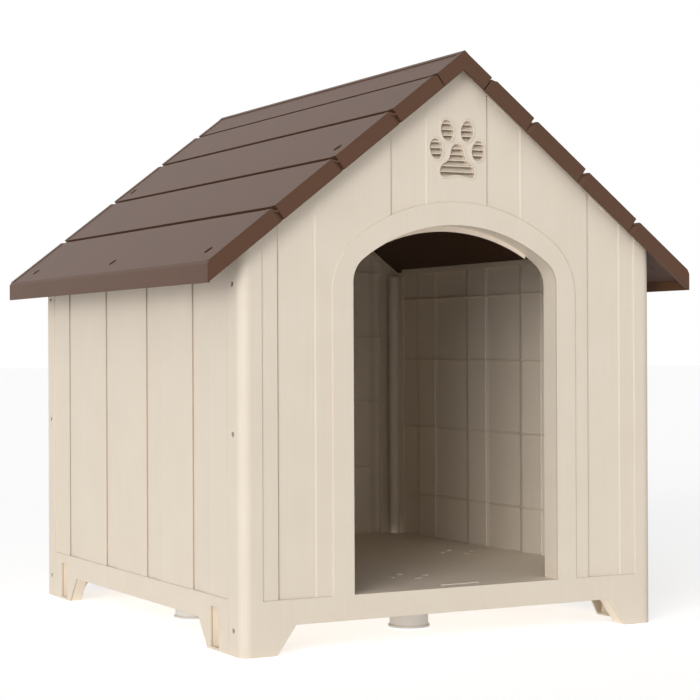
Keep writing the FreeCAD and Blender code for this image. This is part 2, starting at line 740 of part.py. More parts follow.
def side_tongue(side):
    """Tongue behind a gable wall's wrapped edge, with its screw post, at one end."""
    x0 = -half_w + wall_skin + joint_gap
    y_edge = side * (side_field_half - joint_gap)
    y_in = y_edge - side * 6.0
    thin = sorted((side * post_y, y_in))
    thick = sorted((y_in, y_edge))
    return [
        box(x0, x0 + wall_skin, thin[0], thin[1], post_foot, post_top),
        box(-half_w + field_recess + 0.4, x0 + wall_skin, thick[0], thick[1], post_foot,
            post_top),
        rod(post_radius, vec(-post_x, side * post_y, post_foot),
            vec(-post_x, side * post_y, post_top)),
    ]


def side_ribs(outer, inner):
    """Shallow inner ribs of a side wall, which follow the planked skin."""
    xf = -half_w
    end = xf + shelf_depth
    reach = side_field_half - 8.0
    levels = [box(xf, end, -reach, reach, z, z + rib_thickness) for z in side_rib_heights]
    uprights = [box(xf, end, -y - rib_thickness, -y, sill_height, ridge_height)
                for y in upright_places(side_steps)]
    ribs = []
    for boxes, projection in ((levels, rib_projection), (uprights, upright_rib_projection)):
        section = side_order(ribbed_section(outer, inner, projection))
        ribbed = prism([(xf + d, y, sill_height) for y, d in section], (0, 0, ridge_height))
        ribs += [item.common(ribbed) for item in boxes]
    return ribs


def behind_planks(outer):
    """Everything behind the outer line of a side wall's planked skin."""
    deep = border_depth + 20.0
    line = [(position, depth + 1.0) for position, depth in outer]
    line += [(outer[-1][0], deep), (outer[0][0], deep)]
    plan = [(-half_w + d, y, 0.0) for y, d in side_order(line)]
    return prism(plan, (0, 0, ridge_height))


def side_order(line):
    """A plank line turned so that its wedge strips run towards the front."""
    return [(-position, depth) for position, depth in line]


def leg_pocket(xf, side, wall):
    """Wedge-shaped pocket in a side leg, deepest at the ground; wall > 0 gives its lining."""
    near = half_d - pocket_near + wall
    far = half_d - pocket_near - pocket_width - wall
    z0 = pocket_bottom - min(wall, pocket_bottom)
    z1 = pocket_bottom + pocket_height + wall
    back = 0.5 if wall == 0.0 else 0.0
    points = [(xf - back, far, z0), (xf + pocket_depth_bottom + wall, far, z0),
              (xf + pocket_depth_top + wall, far, z1), (xf - back, far, z1)]
    solid = prism(points, (0, near - far, 0))
    if side < 0.0:
        solid = solid.mirror(vec(0, 0, 0), vec(0, 1, 0))
    return solid


# ---------------------------------------------------------------- floor
def foot_places():
    return {
        "front": (0.0, -foot_y), "rear": (0.0, foot_y), "centre": (0.0, 0.0),
        "left": (-foot_x, 0.0), "right": (foot_x, 0.0),
    }


def floor_panel():
    """Floor tray: flat top, skirt, crossing ribs, foot sockets and a locating tab."""
    share = (floor_rib_bottom - pocket_bottom) / pocket_height
    pocket_back = pocket_depth_bottom + share * (pocket_depth_top - pocket_depth_bottom)
    hw = half_w - floor_gap - max(border_depth + rib_projection, pocket_back + wall_skin)
    hd = half_d - edge_flange - 2.0 * joint_gap
    z1 = floor_top
    z0 = floor_top - floor_thickness
    low = floor_rib_bottom
    deck = box(-hw, hw, -hd, hd, z0, z1)
    skirt = box(-hw, hw, -hd, hd, low, z0).cut(
        box(-hw + floor_rib_thickness, hw - floor_rib_thickness, -hd + floor_rib_thickness,
            hd - floor_rib_thickness, low - 1.0, z0))
    parts = [deck, skirt]
    rib = floor_rib_thickness / 2.0
    for x in (-foot_x + 75.0, foot_x - 75.0):
        parts.append(box(x - rib, x + rib, -hd, hd, low + 4.0, z0))
    for y in (-foot_y + 110.0, foot_y - 110.0, -foot_y - 60.0, foot_y + 60.0):
        parts.append(box(-hw, hw, y - rib, y + rib, low + 4.0, z0))
    outer = foot_radius + joint_gap + foot_socket_wall
    for x, y in foot_places().values():
        parts.append(rod(outer, vec(x, y, z0 - foot_socket_depth), vec(x, y, z0)))
    parts.append(box(floor_tab_left, floor_tab_right, -hd, -hd + floor_tab_depth, z1 - 0.5,
                     z1 + floor_tab_height))
    floor = joined(parts)
    cuts = []
    for x, y in foot_places().values():
        cuts.append(rod(foot_radius + joint_gap, vec(x, y, z0 - foot_socket_depth - 1.0),
                        vec(x, y, z0)))
        cuts += [foot_tab(x, y, turn, z0 - 1.0, z1 + 5.0, joint_gap) for turn in range(4)]
    notch = post_radius * 2.0 + 6.0
    for sx in (-1.0, 1.0):
        for sy in (-1.0, 1.0):
            x_in = half_w - wall_skin - notch
            y_in = side_field_half - 8.0
            xs = sorted((sx * x_in, sx * (half_w + 5.0)))
            ys = sorted((sy * y_in, sy * (half_d + 5.0)))
            cuts.append(box(xs[0], xs[1], ys[0], ys[1], low - 5.0, z1 + 5.0))
    return floor.cut(cuts)


def foot_tab(x, y, turn, z0, z1, grow):
    """Upright snap tab on the foot's wall, one of four; turn counts quarter turns."""
    inner = foot_radius - joint_gap - foot_tab_thickness - grow
    outer = foot_radius - joint_gap + grow
    half = foot_tab_width / 2.0 + grow
    tab = box(inner, outer, -half, half, z0, z1)
    tab.rotate(vec(0, 0, 0), vec(0, 0, 1), 90.0 * turn)
    tab.translate(vec(x, y, 0))
    return tab


def support_foot(x, y):
    """Hollow round foot with a flange at the ground and four snap tabs through the floor."""
    z0 = foot_clearance
    z1 = floor_top - floor_thickness - joint_gap
    tube = rod(foot_radius, vec(x, y, z0), vec(x, y, z1))
    tube = tube.cut(rod(foot_radius - foot_wall, vec(x, y, z0 + foot_wall), vec(x, y, z1 + 1.0)))
    flange = rod(foot_radius + foot_flange, vec(x, y, z0),
                 vec(x, y, z0 + foot_flange_thickness))
    parts = [tube, flange]
    low = floor_top + joint_gap
    inner = foot_radius - joint_gap - foot_tab_thickness
    half = foot_tab_width / 2.0
    for turn in range(4):
        parts.append(foot_tab(x, y, turn, z1 - 6.0, low + foot_tab_top, 0.0))
        head = box(inner, inner + foot_tab_thickness + foot_tab_head, -half, half, low,
                   low + foot_tab_top)
        head.rotate(vec(0, 0, 0), vec(0, 0, 1), 90.0 * turn)
        head.translate(vec(x, y, 0))
        parts.append(head)
    return joined(parts)


# ---------------------------------------------------------------- roof
def course_profile():
    """Upper and lower lines of the stepped roof shell as (s, d) pairs."""
    first = cap_width + cap_edge_gap
    low = course_step + roof_skin
    start = cap_bead_height + cap_step
    upper = [(tongue_start, course_step), (first, course_step), (first, start),
             (first + course_ramp * 0.2, start), (first + course_ramp, 0.0)]
    lower = [(tongue_start, low), (first + roof_skin, low),
             (first + roof_skin, start + roof_skin), (first + course_ramp + 1.2, roof_skin)]
    for end in course_ends:
        upper.append((end, 0.0))
        upper.append((end, course_step))
        upper.append((end + course_ramp * 0.2, course_step))
        upper.append((end + course_ramp * 0.65, course_step * 0.4))
        upper.append((end + course_ramp * 0.82, course_step * 0.12))
        upper.append((end + course_ramp, 0.0))
        lower.append((end - roof_skin, roof_skin))
        lower.append((end - roof_skin, low))
        lower.append((end + course_ramp * 0.2 + 1.4, low))
        lower.append((end + course_ramp * 0.65 + 1.6, course_step * 0.4 + roof_skin))
        lower.append((end + course_ramp + 1.2, roof_skin))
    return upper, lower


def roof_panel_left():
    """Roof shell of four planks with an eave fascia and grooved gable fascias."""
    upper, lower = course_profile()
    hd = roof_half_depth
    xe = -roof_half_width
    c = eave_chamfer
    points = [slope_xz(s, d) for s, d in upper]
    points.append(slope_xz(eave_edge_s - c, 0.0))
    points.append((xe, 0.0, eave_edge_z - c * 0.8))
    points.append((xe, 0.0, eave_bottom))
    points.append((xe + eave_thickness, 0.0, eave_bottom))
    inner_z = ridge_height + (xe + eave_thickness) * tan_p - roof_skin / cos_p
    points.append((xe + eave_thickness, 0.0, inner_z))
    points += [slope_xz(s, d) for s, d in lower[::-1]]
    shell = prism([(x, -hd, z) for x, y, z in points], (0, 2.0 * hd, 0))
    bosses = []
    holes = []
    for s, y in roof_screws():
        bosses.append(rod(roof_recess_radius + roof_boss_wall, slope_point(s, 0.4, y),
                          slope_point(s, liner_depth - liner_gap / 2.0, y)))
        holes.append(rod(roof_recess_radius, slope_point(s, -3.0, y),
                         slope_point(s, roof_recess_depth, y)))
        holes.append(rod(roof_screw_radius + roof_screw_clearance, slope_point(s, -3.0, y),
                         slope_point(s, liner_depth + 2.0, y)))
    for y in snap_post_y:
        holes.append(rod(snap_hole_radius, slope_point(snap_post_s, 0.0, y),
                         slope_point(snap_post_s, liner_bottom, y)))
    panel = joined([shell] + gable_fascias(upper) + gable_rims(plank_spans(), 0.0) + bosses)
    return panel.cut(holes + cap_room())


def gable_fascias(upper):
    """Fascias at the front and rear ends of a roof panel, grooved at each plank."""
    hd = roof_half_depth
    xe = -roof_half_width
    start = cap_width + cap_edge_gap
    low_x = xe + (fascia_depth / cos_p - eave_drop) / tan_p
    edge = [slope_xz(start, course_step), slope_xz(start, fascia_depth),
            (low_x, 0.0, eave_bottom), (xe, 0.0, eave_bottom),
            (xe, 0.0, eave_edge_z - eave_chamfer * 0.8),
            slope_xz(eave_edge_s - eave_chamfer, 0.0)]
    top = [slope_xz(s, d) for s, d in upper[2:]]
    outline = edge + top[::-1]
    plates = []
    for way, y_face in ((1.0, -hd), (-1.0, hd)):
        plate = prism([(x, y_face, z) for x, y, z in outline], (0, way * fascia_thickness, 0))
        plates.append(plate.cut([course_groove(end, y_face, way) for end in course_ends]))
    return plates


def plank_spans():
    """Stretches of the planks' flat faces as (start, end) pairs, along the slope."""
    starts = [cap_width + cap_edge_gap + course_ramp]
    starts += [end + fascia_groove_length for end in course_ends]
    return list(zip(starts, course_ends + [eave_edge_s - eave_chamfer - 1.0]))


def gable_rims(spans, depth):
    """Raised rims along both gable ends of roof faces that lie at a depth."""
    hd = roof_half_depth
    rims = []
    for start, end in spans:
        corners = [slope_xz(start, depth + 0.5), slope_xz(start, depth - rim_height),
                   slope_xz(end, depth - rim_height), slope_xz(end, depth + 0.5)]
        for y0 in (-hd, hd - rim_width):
            rims.append(prism([(x, y0, z) for x, y, z in corners], (0, rim_width, 0)))
    return rims


def cap_room():
    """Room cut from both ends of a panel's tongue for the ridge cap's fascias."""
    hd = roof_half_depth
    length = fascia_thickness + liner_edge_gap
    edge = cap_width + cap_edge_gap - 0.01
    corners = [slope_xz(-20.0, -5.0), slope_xz(edge, -5.0), slope_xz(edge, 40.0),
               slope_xz(-20.0, 40.0)]
    return [prism([(x, y0, z) for x, y, z in corners], (0, length + 2.0, 0))
            for y0 in (-hd - 2.0, hd - length)]


def course_groove(end, y_face, way):
    """Wedge cut from a fascia just below a plank's lower edge, square to the slope."""
    deep = y_face + way * fascia_groove
    out = y_face - way * 1.0
    a = slope_point(end, -4.0, 0.0)
    b = slope_point(end + fascia_groove_length, -4.0, 0.0)
    points = [(a.x, out, a.z), (a.x, deep, a.z), (b.x, y_face, b.z), (b.x, out, b.z)]
    down = slope_point(end, fascia_depth + 4.0, 0.0).sub(a)
    return prism(points, (down.x, down.y, down.z))


def roof_screws():
    """Places of the roof screws as (s, y) pairs: the eave row, then the gable pair."""
    places = [(eave_screw_s, y) for y in eave_screw_y]
    places += [(gable_screw_s, y) for y in gable_screw_y]
    return places


def roof_liner_left():
    """Flat board under the shell, seen as the ceiling and the underside of the eave."""
    hd = roof_half_depth - fascia_thickness - liner_edge_gap
    x_low = -(roof_half_width - eave_thickness - liner_edge_gap)
    top_z = ridge_height - liner_depth / cos_p
    low_z = ridge_height - liner_bottom / cos_p
    points = [(-1.0, -hd, top_z - tan_p), (x_low, -hd, top_z + x_low * tan_p),
              (x_low, -hd, low_z + x_low * tan_p), (-1.0, -hd, low_z - tan_p)]
    board = prism(points, (0, 2.0 * hd, 0))
    holes = []
    for y in eave_screw_y:
        holes.append(rod(roof_screw_radius + thread_gap, slope_point(eave_screw_s, 0.0, y),
                         slope_point(eave_screw_s, liner_bottom + 5.0, y)))
    for y in gable_screw_y:
        holes.append(rod(roof_screw_radius + roof_screw_clearance,
                         slope_point(gable_screw_s, 0.0, y),
                         slope_point(gable_screw_s, liner_bottom + 10.0, y)))
    for y in snap_post_y:
        holes.append(rod(snap_hole_radius, slope_point(snap_post_s, 0.0, y),
                         slope_point(snap_post_s, 20.0, y)))
    return board.cut(holes)


def ridge_cap():
    """Folded cap over the ridge with end fascias, edge lips, rims and snap posts."""
    hd = roof_half_depth
    t = roof_skin
    w = cap_width
    lip = course_step - liner_gap / 2.0
    skin = t + cap_bead_height
    face = cap_bead_height
    half = [slope_xz(cap_bead, face), slope_xz(w, face), slope_xz(w, lip),
            slope_xz(w - t, lip), slope_xz(w - t, skin)]
    crown_in = (0.0, 0.0, ridge_height - skin / cos_p)
    left = [slope_xz(cap_bead, 0.0)] + half
    right = [(-x, y, z) for x, y, z in left]
    top = (0.0, 0.0, ridge_height)
    points = [top] + left + [crown_in] + right[::-1]
    shell = prism([(x, -hd, z) for x, y, z in points], (0, 2.0 * hd, 0))
    low = [slope_xz(cap_bead, 0.0), slope_xz(cap_bead, face), slope_xz(w, face),
           slope_xz(w, cap_fascia_depth)]
    inner_apex = (0.0, 0.0, ridge_height - cap_fascia_depth / cos_p)
    outline = [top] + low + [inner_apex] + [(-x, y, z) for x, y, z in low[::-1]]
    parts = [shell]
    for y0 in (-hd, hd - fascia_thickness):
        parts.append(prism([(x, y0, z) for x, y, z in outline], (0, fascia_thickness, 0)))
    rims = gable_rims([(cap_bead, w)], face)
    parts += rims + [mirrored_x(rim) for rim in rims]
    for side in (-1.0, 1.0):
        for y in snap_post_y:
            parts.append(rod(snap_post_radius, slope_point(snap_post_s, t - 0.5, y, side),
                             slope_point(snap_post_s, liner_bottom + 4.6, y, side)))
            parts.append(rod(snap_head_radius,
                             slope_point(snap_post_s, liner_bottom + joint_gap, y, side),
                             slope_point(snap_post_s, liner_bottom + 2.6, y, side)))
    return joined(parts)


# ---------------------------------------------------------------- fastenings
def pan_screw(start, axis, head_radius, head_height, radius, length):
    """Pan-head screw with a cross recess; start is the seat under its head."""
    way = vec(axis.x, axis.y, axis.z)
    way.normalize()
    back = way.multiply(-1.0)
    top = start.add(vec(back.x, back.y, back.z).multiply(head_height))
    shank_end = start.sub(vec(back.x, back.y, back.z).multiply(length))
    head = Part.makeCylinder(head_radius, head_height, start, back)
    rim = [edge for edge in head.Edges if edge.Closed and on_plane(edge, top, back)]
    head = head.makeFillet(min(head_height, head_radius) * 0.45, rim)
    shank = rod(radius, start, shank_end)
    side = back.cross(vec(0, 1, 0))
    side.normalize()
    other = back.cross(side)
    cross = []
    for a, b in ((side, other), (other, side)):
        cross.append(cross_bar(top, a, b, back, head_radius, head_height))
    return joined([head, shank]).cut(cross)


def on_plane(edge, point, normal):
    return abs(edge.Vertexes[0].Point.sub(point).dot(normal)) < 0.01


def cross_bar(top, a, b, back, head_radius, head_height):
    """One bar of the cross recess in a screw head."""
    long = head_radius * 0.55
    thin = head_radius * 0.13
    deep = head_height * 0.55
    lift = vec(back.x, back.y, back.z).multiply(0.5)
    origin = top.add(lift)
    corners = []
    for u, v in ((-long, -thin), (long, -thin), (long, thin), (-long, thin)):
        along = vec(a.x, a.y, a.z).multiply(u)
        across = vec(b.x, b.y, b.z).multiply(v)
        corners.append(origin.add(along).add(across))
    down = vec(back.x, back.y, back.z).multiply(-(deep + 0.5))
    wire = Part.makePolygon(corners + [corners[0]])
    return Part.Face(wire).extrude(down)


def corner_screws(side_x, side_y):
    """Three screws through the wrapped corner into the post of the side wall."""
    screws = []
    y = side_y * (half_d - screw_from_corner)
    seat = half_w - wall_skin - joint_gap
    for z in screw_height:
        start = vec(side_x * seat, y, z)
        screws.append(pan_screw(start, vec(-side_x, 0, 0), screw_hole_radius - screw_head_gap,
                                screw_head_height, post_pilot_radius - thread_gap,
                                corner_screw_length))
    return Part.makeCompound(screws)


def slope_screws(s, places, side, length):
    """Roof screws square to the slope, sunk in their recesses."""
    screws = []
    for y in places:
        start = slope_point(s, roof_recess_depth, y, side)
        inward = slope_point(s, roof_recess_depth + 1.0, y, side).sub(start)
        screws.append(pan_screw(start, inward, roof_screw_head_radius, roof_screw_head_height,
                                roof_screw_radius, length))
    return Part.makeCompound(screws)


# ---------------------------------------------------------------- the whole assembly
def build():
    """Every node by name."""
    nodes = {}
    nodes["front_panel"] = front_panel()
    nodes["rear_panel"] = rear_panel()
    left = left_side_panel()
    nodes["left_side_panel"] = left
    nodes["right_side_panel"] = mirrored_x(left)
    nodes["floor_panel"] = floor_panel()
    nodes["paw_vent_louvres"] = paw_vent_louvres()
    roof = roof_panel_left()
    nodes["roof_panel_left"] = roof
    nodes["roof_panel_right"] = mirrored_x(roof)
    liner = roof_liner_left()
    nodes["roof_liner_left"] = liner
    nodes["roof_liner_right"] = mirrored_x(liner)
    nodes["ridge_cap"] = ridge_cap()
    for name, place in foot_places().items():
        nodes["support_foot_" + name] = support_foot(place[0], place[1])
    for name_y, side_y in (("front", -1.0), ("rear", 1.0)):
        for name_x, side_x in (("left", -1.0), ("right", 1.0)):
            nodes["corner_screws_" + name_y + "_" + name_x] = corner_screws(side_x, side_y)
    short = liner_bottom - screw_tip_gap - roof_recess_depth
    long = wall_top_depth + gable_screw_bite - roof_recess_depth
    for name, side in (("left", -1.0), ("right", 1.0)):
        nodes["eave_screws_" + name] = slope_screws(eave_screw_s, eave_screw_y, side, short)
        nodes["gable_screws_" + name] = slope_screws(gable_screw_s, gable_screw_y, side, long)
    return nodes


def main():
    os.makedirs("parts", exist_ok=True)
    for name, shape in build().items():
        shape.exportStep(os.path.join("parts", name + ".step"))
        print(name, len(shape.Solids), round(shape.Volume / 1000.0, 1), "cm3", shape.isValid())


main()
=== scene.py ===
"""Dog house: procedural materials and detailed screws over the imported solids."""

from dataclasses import dataclass
from enum import Enum
import logging
import math

import bmesh
import bpy
from mathutils import Matrix, Vector

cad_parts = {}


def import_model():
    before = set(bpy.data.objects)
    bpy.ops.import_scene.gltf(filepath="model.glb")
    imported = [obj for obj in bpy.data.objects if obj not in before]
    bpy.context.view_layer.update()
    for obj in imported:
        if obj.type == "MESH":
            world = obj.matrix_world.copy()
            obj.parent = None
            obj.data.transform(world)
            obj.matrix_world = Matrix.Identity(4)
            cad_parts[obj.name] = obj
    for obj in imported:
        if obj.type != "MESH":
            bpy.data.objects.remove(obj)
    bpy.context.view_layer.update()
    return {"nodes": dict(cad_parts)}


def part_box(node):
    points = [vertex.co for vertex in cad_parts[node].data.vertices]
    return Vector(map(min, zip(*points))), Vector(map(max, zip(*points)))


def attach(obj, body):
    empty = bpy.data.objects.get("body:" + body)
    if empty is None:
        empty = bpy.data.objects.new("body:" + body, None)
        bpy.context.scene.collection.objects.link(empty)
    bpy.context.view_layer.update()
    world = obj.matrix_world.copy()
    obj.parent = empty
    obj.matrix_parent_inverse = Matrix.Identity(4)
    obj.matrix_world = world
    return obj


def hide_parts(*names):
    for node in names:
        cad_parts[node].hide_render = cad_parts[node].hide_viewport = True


LOG = logging.getLogger("dog_house")
MM = 0.001
BODY = "root"
Nodes = dict[str, bpy.types.Object]


def linear(hex_colour: str) -> tuple[float, float, float, float]:
    """Linear RGBA of an sRGB colour.

    Args:
        hex_colour: Colour written as "#RRGGBB".

    Returns:
        The same colour in scene-linear values, with full alpha.
    """
    parts = [int(hex_colour[i:i + 2], 16) / 255.0 for i in (1, 3, 5)]
    values = [p / 12.92 if p <= 0.04045 else ((p + 0.055) / 1.055) ** 2.4 for p in parts]
    return (values[0], values[1], values[2], 1.0)


def add_node(tree: bpy.types.NodeTree, kind: str, **settings: object) -> bpy.types.Node:
    """Add one node with its settings and links.

    Args:
        tree: Node tree to add to.
        kind: Blender's node type name.
        settings: Node properties by name. A name starting with "in_" feeds that input: a
            socket is linked to it, sockets in a list one after the other, and anything else
            becomes its value.

    Returns:
        The new node.
    """
    node = tree.nodes.new(kind)
    for name, value in settings.items():
        if not name.startswith("in_"):
            setattr(node, name, value)
            continue
        key = name[3:]
        socket = node.inputs[int(key)] if key.isdigit() else node.inputs[key.replace("_", " ")]
        for feed in value if isinstance(value, list) else [value]:
            if isinstance(feed, bpy.types.NodeSocket):
                tree.links.new(feed, socket)
            else:
                socket.default_value = feed
    return node


# ------------------------------------------------------------------ finishes
class Grain(Enum):
    """Direction in which a moulded surface's grain lines run, as the texture's stretch."""

    UPRIGHT = (1.0, 1.0, 0.012)
    ALONG_DEPTH = (1.0, 0.010, 1.0)
    NONE = (1.0, 1.0, 1.0)


class FaceAxis(Enum):
    """Object axis that a wall faces along, and its index."""

    SIDE = 0
    FRONT = 1


@dataclass(frozen=True)
class SeamShade:
    """Painted shade: a darker band on the steps between moulded planks, by depth behind the
    wall's face.

    Depths are in millimetres; outside is the face's distance from the middle, in metres. The
    steep values say how far a face may turn towards the wall's front before the band fades.
    """

    axis: FaceAxis
    outside: float
    start: float = 1.5
    full: float = 2.1
    end: float = 3.7
    fade: float = 0.1
    steep: tuple[float, float] = (0.5, 0.8)
    share: float = 0.55

    def build(self, tree: bpy.types.NodeTree, place: bpy.types.Node) -> bpy.types.NodeSocket:
        """Add the nodes of the band.

        Args:
            tree: The material's node tree.
            place: Texture Coordinate node.

        Returns:
            Socket with the share of shade, 0 to 1.
        """
        spot = add_node(tree, "ShaderNodeSeparateXYZ", in_0=place.outputs["Object"])
        size = add_node(tree, "ShaderNodeMath", operation="ABSOLUTE",
                        in_0=spot.outputs[self.axis.value])
        depth = add_node(tree, "ShaderNodeMath", operation="SUBTRACT", in_0=self.outside,
                         in_1=size.outputs[0])
        rise = add_node(tree, "ShaderNodeMapRange", in_0=depth.outputs[0],
                        in_1=self.start * MM, in_2=self.full * MM)
        fall = add_node(tree, "ShaderNodeMapRange", in_0=depth.outputs[0], in_1=self.end * MM,
                        in_2=(self.end + self.fade) * MM, in_3=1.0, in_4=0.0)
        facing = add_node(tree, "ShaderNodeSeparateXYZ", in_0=place.outputs["Normal"])
        level = add_node(tree, "ShaderNodeMath", operation="ABSOLUTE",
                         in_0=facing.outputs[self.axis.value])
        upright = add_node(tree, "ShaderNodeMapRange", in_0=level.outputs[0],
                           in_1=self.steep[0], in_2=self.steep[1], in_3=self.share, in_4=0.0)
        both = add_node(tree, "ShaderNodeMath", operation="MULTIPLY", in_0=rise.outputs[0],
                        in_1=fall.outputs[0])
        total = add_node(tree, "ShaderNodeMath", operation="MULTIPLY", in_0=both.outputs[0],
                         in_1=upright.outputs[0])
        return total.outputs[0]


@dataclass(frozen=True)
class PlasticFinish:
    """Moulded plastic: base colour, slight mottle, grain lines and a fine pebble.

    Sizes are in millimetres; the texture reads object coordinates in metres. The pebble of the
    real mould is finer than this one, which is drawn as coarse as it needs to show.
    """

    name: str
    colour: str
    shade: str
    roughness: float
    grain: Grain
    grain_pitch: float = 1.6
    grain_depth: float = 0.05
    grain_tint: float = 0.5
    tint_range: tuple[float, float] = (0.35, 0.65)
    pebble_pitch: float = 0.9
    pebble_depth: float = 0.02
    mottle_pitch: float = 60.0
    specular: float = 0.5
    ior: float = 1.49
    edge_radius: float = 1.2
    # colour of the painted shade on the steps between the planks
    seam_shade_colour: str = "#8D7B66"

    def build(self, seams: SeamShade | None = None, suffix: str = "") -> bpy.types.Material:
        """Build the node material.

        Args:
            seams: Painted shade on the steps between planks, if the part has any.
            suffix: Added to the material's name.

        Returns:
            The finished material.
        """
        material = bpy.data.materials.new(self.name + suffix)
        material.use_nodes = True
        tree = material.node_tree
        tree.nodes.clear()
        place = add_node(tree, "ShaderNodeTexCoord")
        spot = place.outputs["Object"]

        # stretched noise: the drawn-out grain lines that give the wood look
        scale = 1.0 / (self.grain_pitch * MM)
        stretch = tuple(scale * share for share in self.grain.value)
        mapping = add_node(tree, "ShaderNodeMapping", in_Scale=stretch, in_Vector=spot)
        lines = add_node(tree, "ShaderNodeTexNoise", in_Scale=1.0, in_Detail=3.0,
                         in_Roughness=0.55, in_Vector=mapping.outputs[0])

        # slow mottle: the uneven flow of the plastic over a large moulding
        mottle = add_node(tree, "ShaderNodeTexNoise", in_Scale=1.0 / (self.mottle_pitch * MM),
                          in_Detail=2.0, in_Roughness=0.5, in_Vector=spot)
        blend = add_node(tree, "ShaderNodeMix", data_type="FLOAT", in_0=0.5,
                         in_2=lines.outputs[0], in_3=mottle.outputs[0])
        amount = add_node(tree, "ShaderNodeMapRange", in_0=blend.outputs[0],
                          in_1=self.tint_range[0], in_2=self.tint_range[1], in_3=0.0,
                          in_4=self.grain_tint)
        colour = add_node(tree, "ShaderNodeMix", data_type="RGBA", in_0=amount.outputs[0],
                          in_6=linear(self.colour), in_7=linear(self.shade))
        base = colour.outputs[2]
        if seams is not None:
            # painted shade: the narrow steps between the planks are darkened where the real
            # steps would lie in shadow
            shaded = add_node(tree, "ShaderNodeMix", data_type="RGBA",
                              in_0=seams.build(tree, place), in_6=base,
                              in_7=linear(self.seam_shade_colour))
            base = shaded.outputs[2]

        # fine pebble: the eroded texture of the mould, seen where light grazes the surface
        pebble = add_node(tree, "ShaderNodeTexNoise", in_Scale=1.0 / (self.pebble_pitch * MM),
                          in_Detail=1.0, in_Vector=spot)
        # eased edges: the small radius that every moulded edge has catches the light
        eased = add_node(tree, "ShaderNodeBevel", samples=4, in_Radius=self.edge_radius * MM)
        pebbled = add_node(tree, "ShaderNodeBump", in_Strength=1.0,
                           in_Distance=self.pebble_depth * MM, in_Height=pebble.outputs[0],
                           in_Normal=eased.outputs[0])
        grained = add_node(tree, "ShaderNodeBump", in_Strength=1.0,
                           in_Distance=self.grain_depth * MM, in_Height=lines.outputs[0],
                           in_Normal=pebbled.outputs[0])
        shader = add_node(tree, "ShaderNodeBsdfPrincipled", in_Base_Color=base,
                          in_Roughness=self.roughness, in_IOR=self.ior,
                          in_Specular_IOR_Level=self.specular, in_Normal=grained.outputs[0])
        add_node(tree, "ShaderNodeOutputMaterial", in_Surface=shader.outputs[0])
        return material


@dataclass(frozen=True)
class SteelFinish:
    """Dark plated screw steel with fine turning marks, worn to a lighter tone here and there."""

    name: str
    colour: str
    roughness: float
    worn: str = "#6A645E"
    worn_range: tuple[float, float] = (0.45, 0.75)
    worn_share: float = 0.5
    rough_spread: tuple[float, float] = (0.08, 0.12)
    marks_per_mm: float = 1.4

    def build(self) -> bpy.types.Material:
        """Build the node material.

        Returns:
            The finished material.
        """
        material = bpy.data.materials.new(self.name)
        material.use_nodes = True
        tree = material.node_tree
        tree.nodes.clear()
        place = add_node(tree, "ShaderNodeTexCoord")

        # turning marks: they break the glint of the heads into a dull, uneven sheen
        marks = add_node(tree, "ShaderNodeTexNoise", in_Scale=self.marks_per_mm / MM,
                         in_Detail=3.0, in_Vector=place.outputs["Object"])
        rough = add_node(tree, "ShaderNodeMapRange", in_0=marks.outputs[0],
                         in_3=self.roughness - self.rough_spread[0],
                         in_4=self.roughness + self.rough_spread[1])
        share = add_node(tree, "ShaderNodeMapRange", in_0=marks.outputs[0],
                         in_1=self.worn_range[0], in_2=self.worn_range[1], in_3=0.0,
                         in_4=self.worn_share)
        tint = add_node(tree, "ShaderNodeMix", data_type="RGBA", in_0=share.outputs[0],
                        in_6=linear(self.colour), in_7=linear(self.worn))
        shader = add_node(tree, "ShaderNodeBsdfPrincipled", in_Metallic=1.0,
                          in_Roughness=rough.outputs[0], in_Base_Color=tint.outputs[2])
        add_node(tree, "ShaderNodeOutputMaterial", in_Surface=shader.outputs[0])
        return material


@dataclass(frozen=True)
class Finishes:
    """Every material of the house."""

    # moulded polypropylene, cream and matt: a broad soft sheen over faint upright wood grain
    wall: PlasticFinish = PlasticFinish("wall_plastic", "#F2E5D3", "#E9DBC8", 0.60,
                                        Grain.UPRIGHT)
    # the same plastic from a smoother mould: a plain, slightly shinier tray
    floor: PlasticFinish = PlasticFinish("floor_plastic", "#F1E3D0", "#E8D9C5", 0.50,
                                         Grain.NONE, grain_pitch=4.0, grain_depth=0.02)
    # moulded polypropylene, brown: satin, greyed by pale surroundings, grain along the planks
    roof: PlasticFinish = PlasticFinish("roof_plastic", "#58371F", "#4D2F1B", 0.52,
                                        Grain.ALONG_DEPTH, grain_depth=0.06)
    # brown plastic of the boards under the roof: smooth and dull, nearly black in the house
    liner: PlasticFinish = PlasticFinish("liner_plastic", "#4E3220", "#452B1B", 0.6,
                                         Grain.NONE, grain_depth=0.01)
    # unpainted milk-white plastic of the feet: clean and even
    foot: PlasticFinish = PlasticFinish("foot_plastic", "#F4F1ED", "#EBE7E2", 0.5,
                                        Grain.NONE, grain_depth=0.01)
    # dark plated steel: small dull glints deep in the screw holes
    screw: SteelFinish = SteelFinish("screw_steel", "#332F2C", 0.46)


# ------------------------------------------------------------------ sub-assemblies
def paint(node: bpy.types.Object, material: bpy.types.Material) -> None:
    """Give one solid its material.

    Args:
        node: CAD object or new piece.
        material: Material for its only slot.
    """
    node.data.materials.clear()
    node.data.materials.append(material)


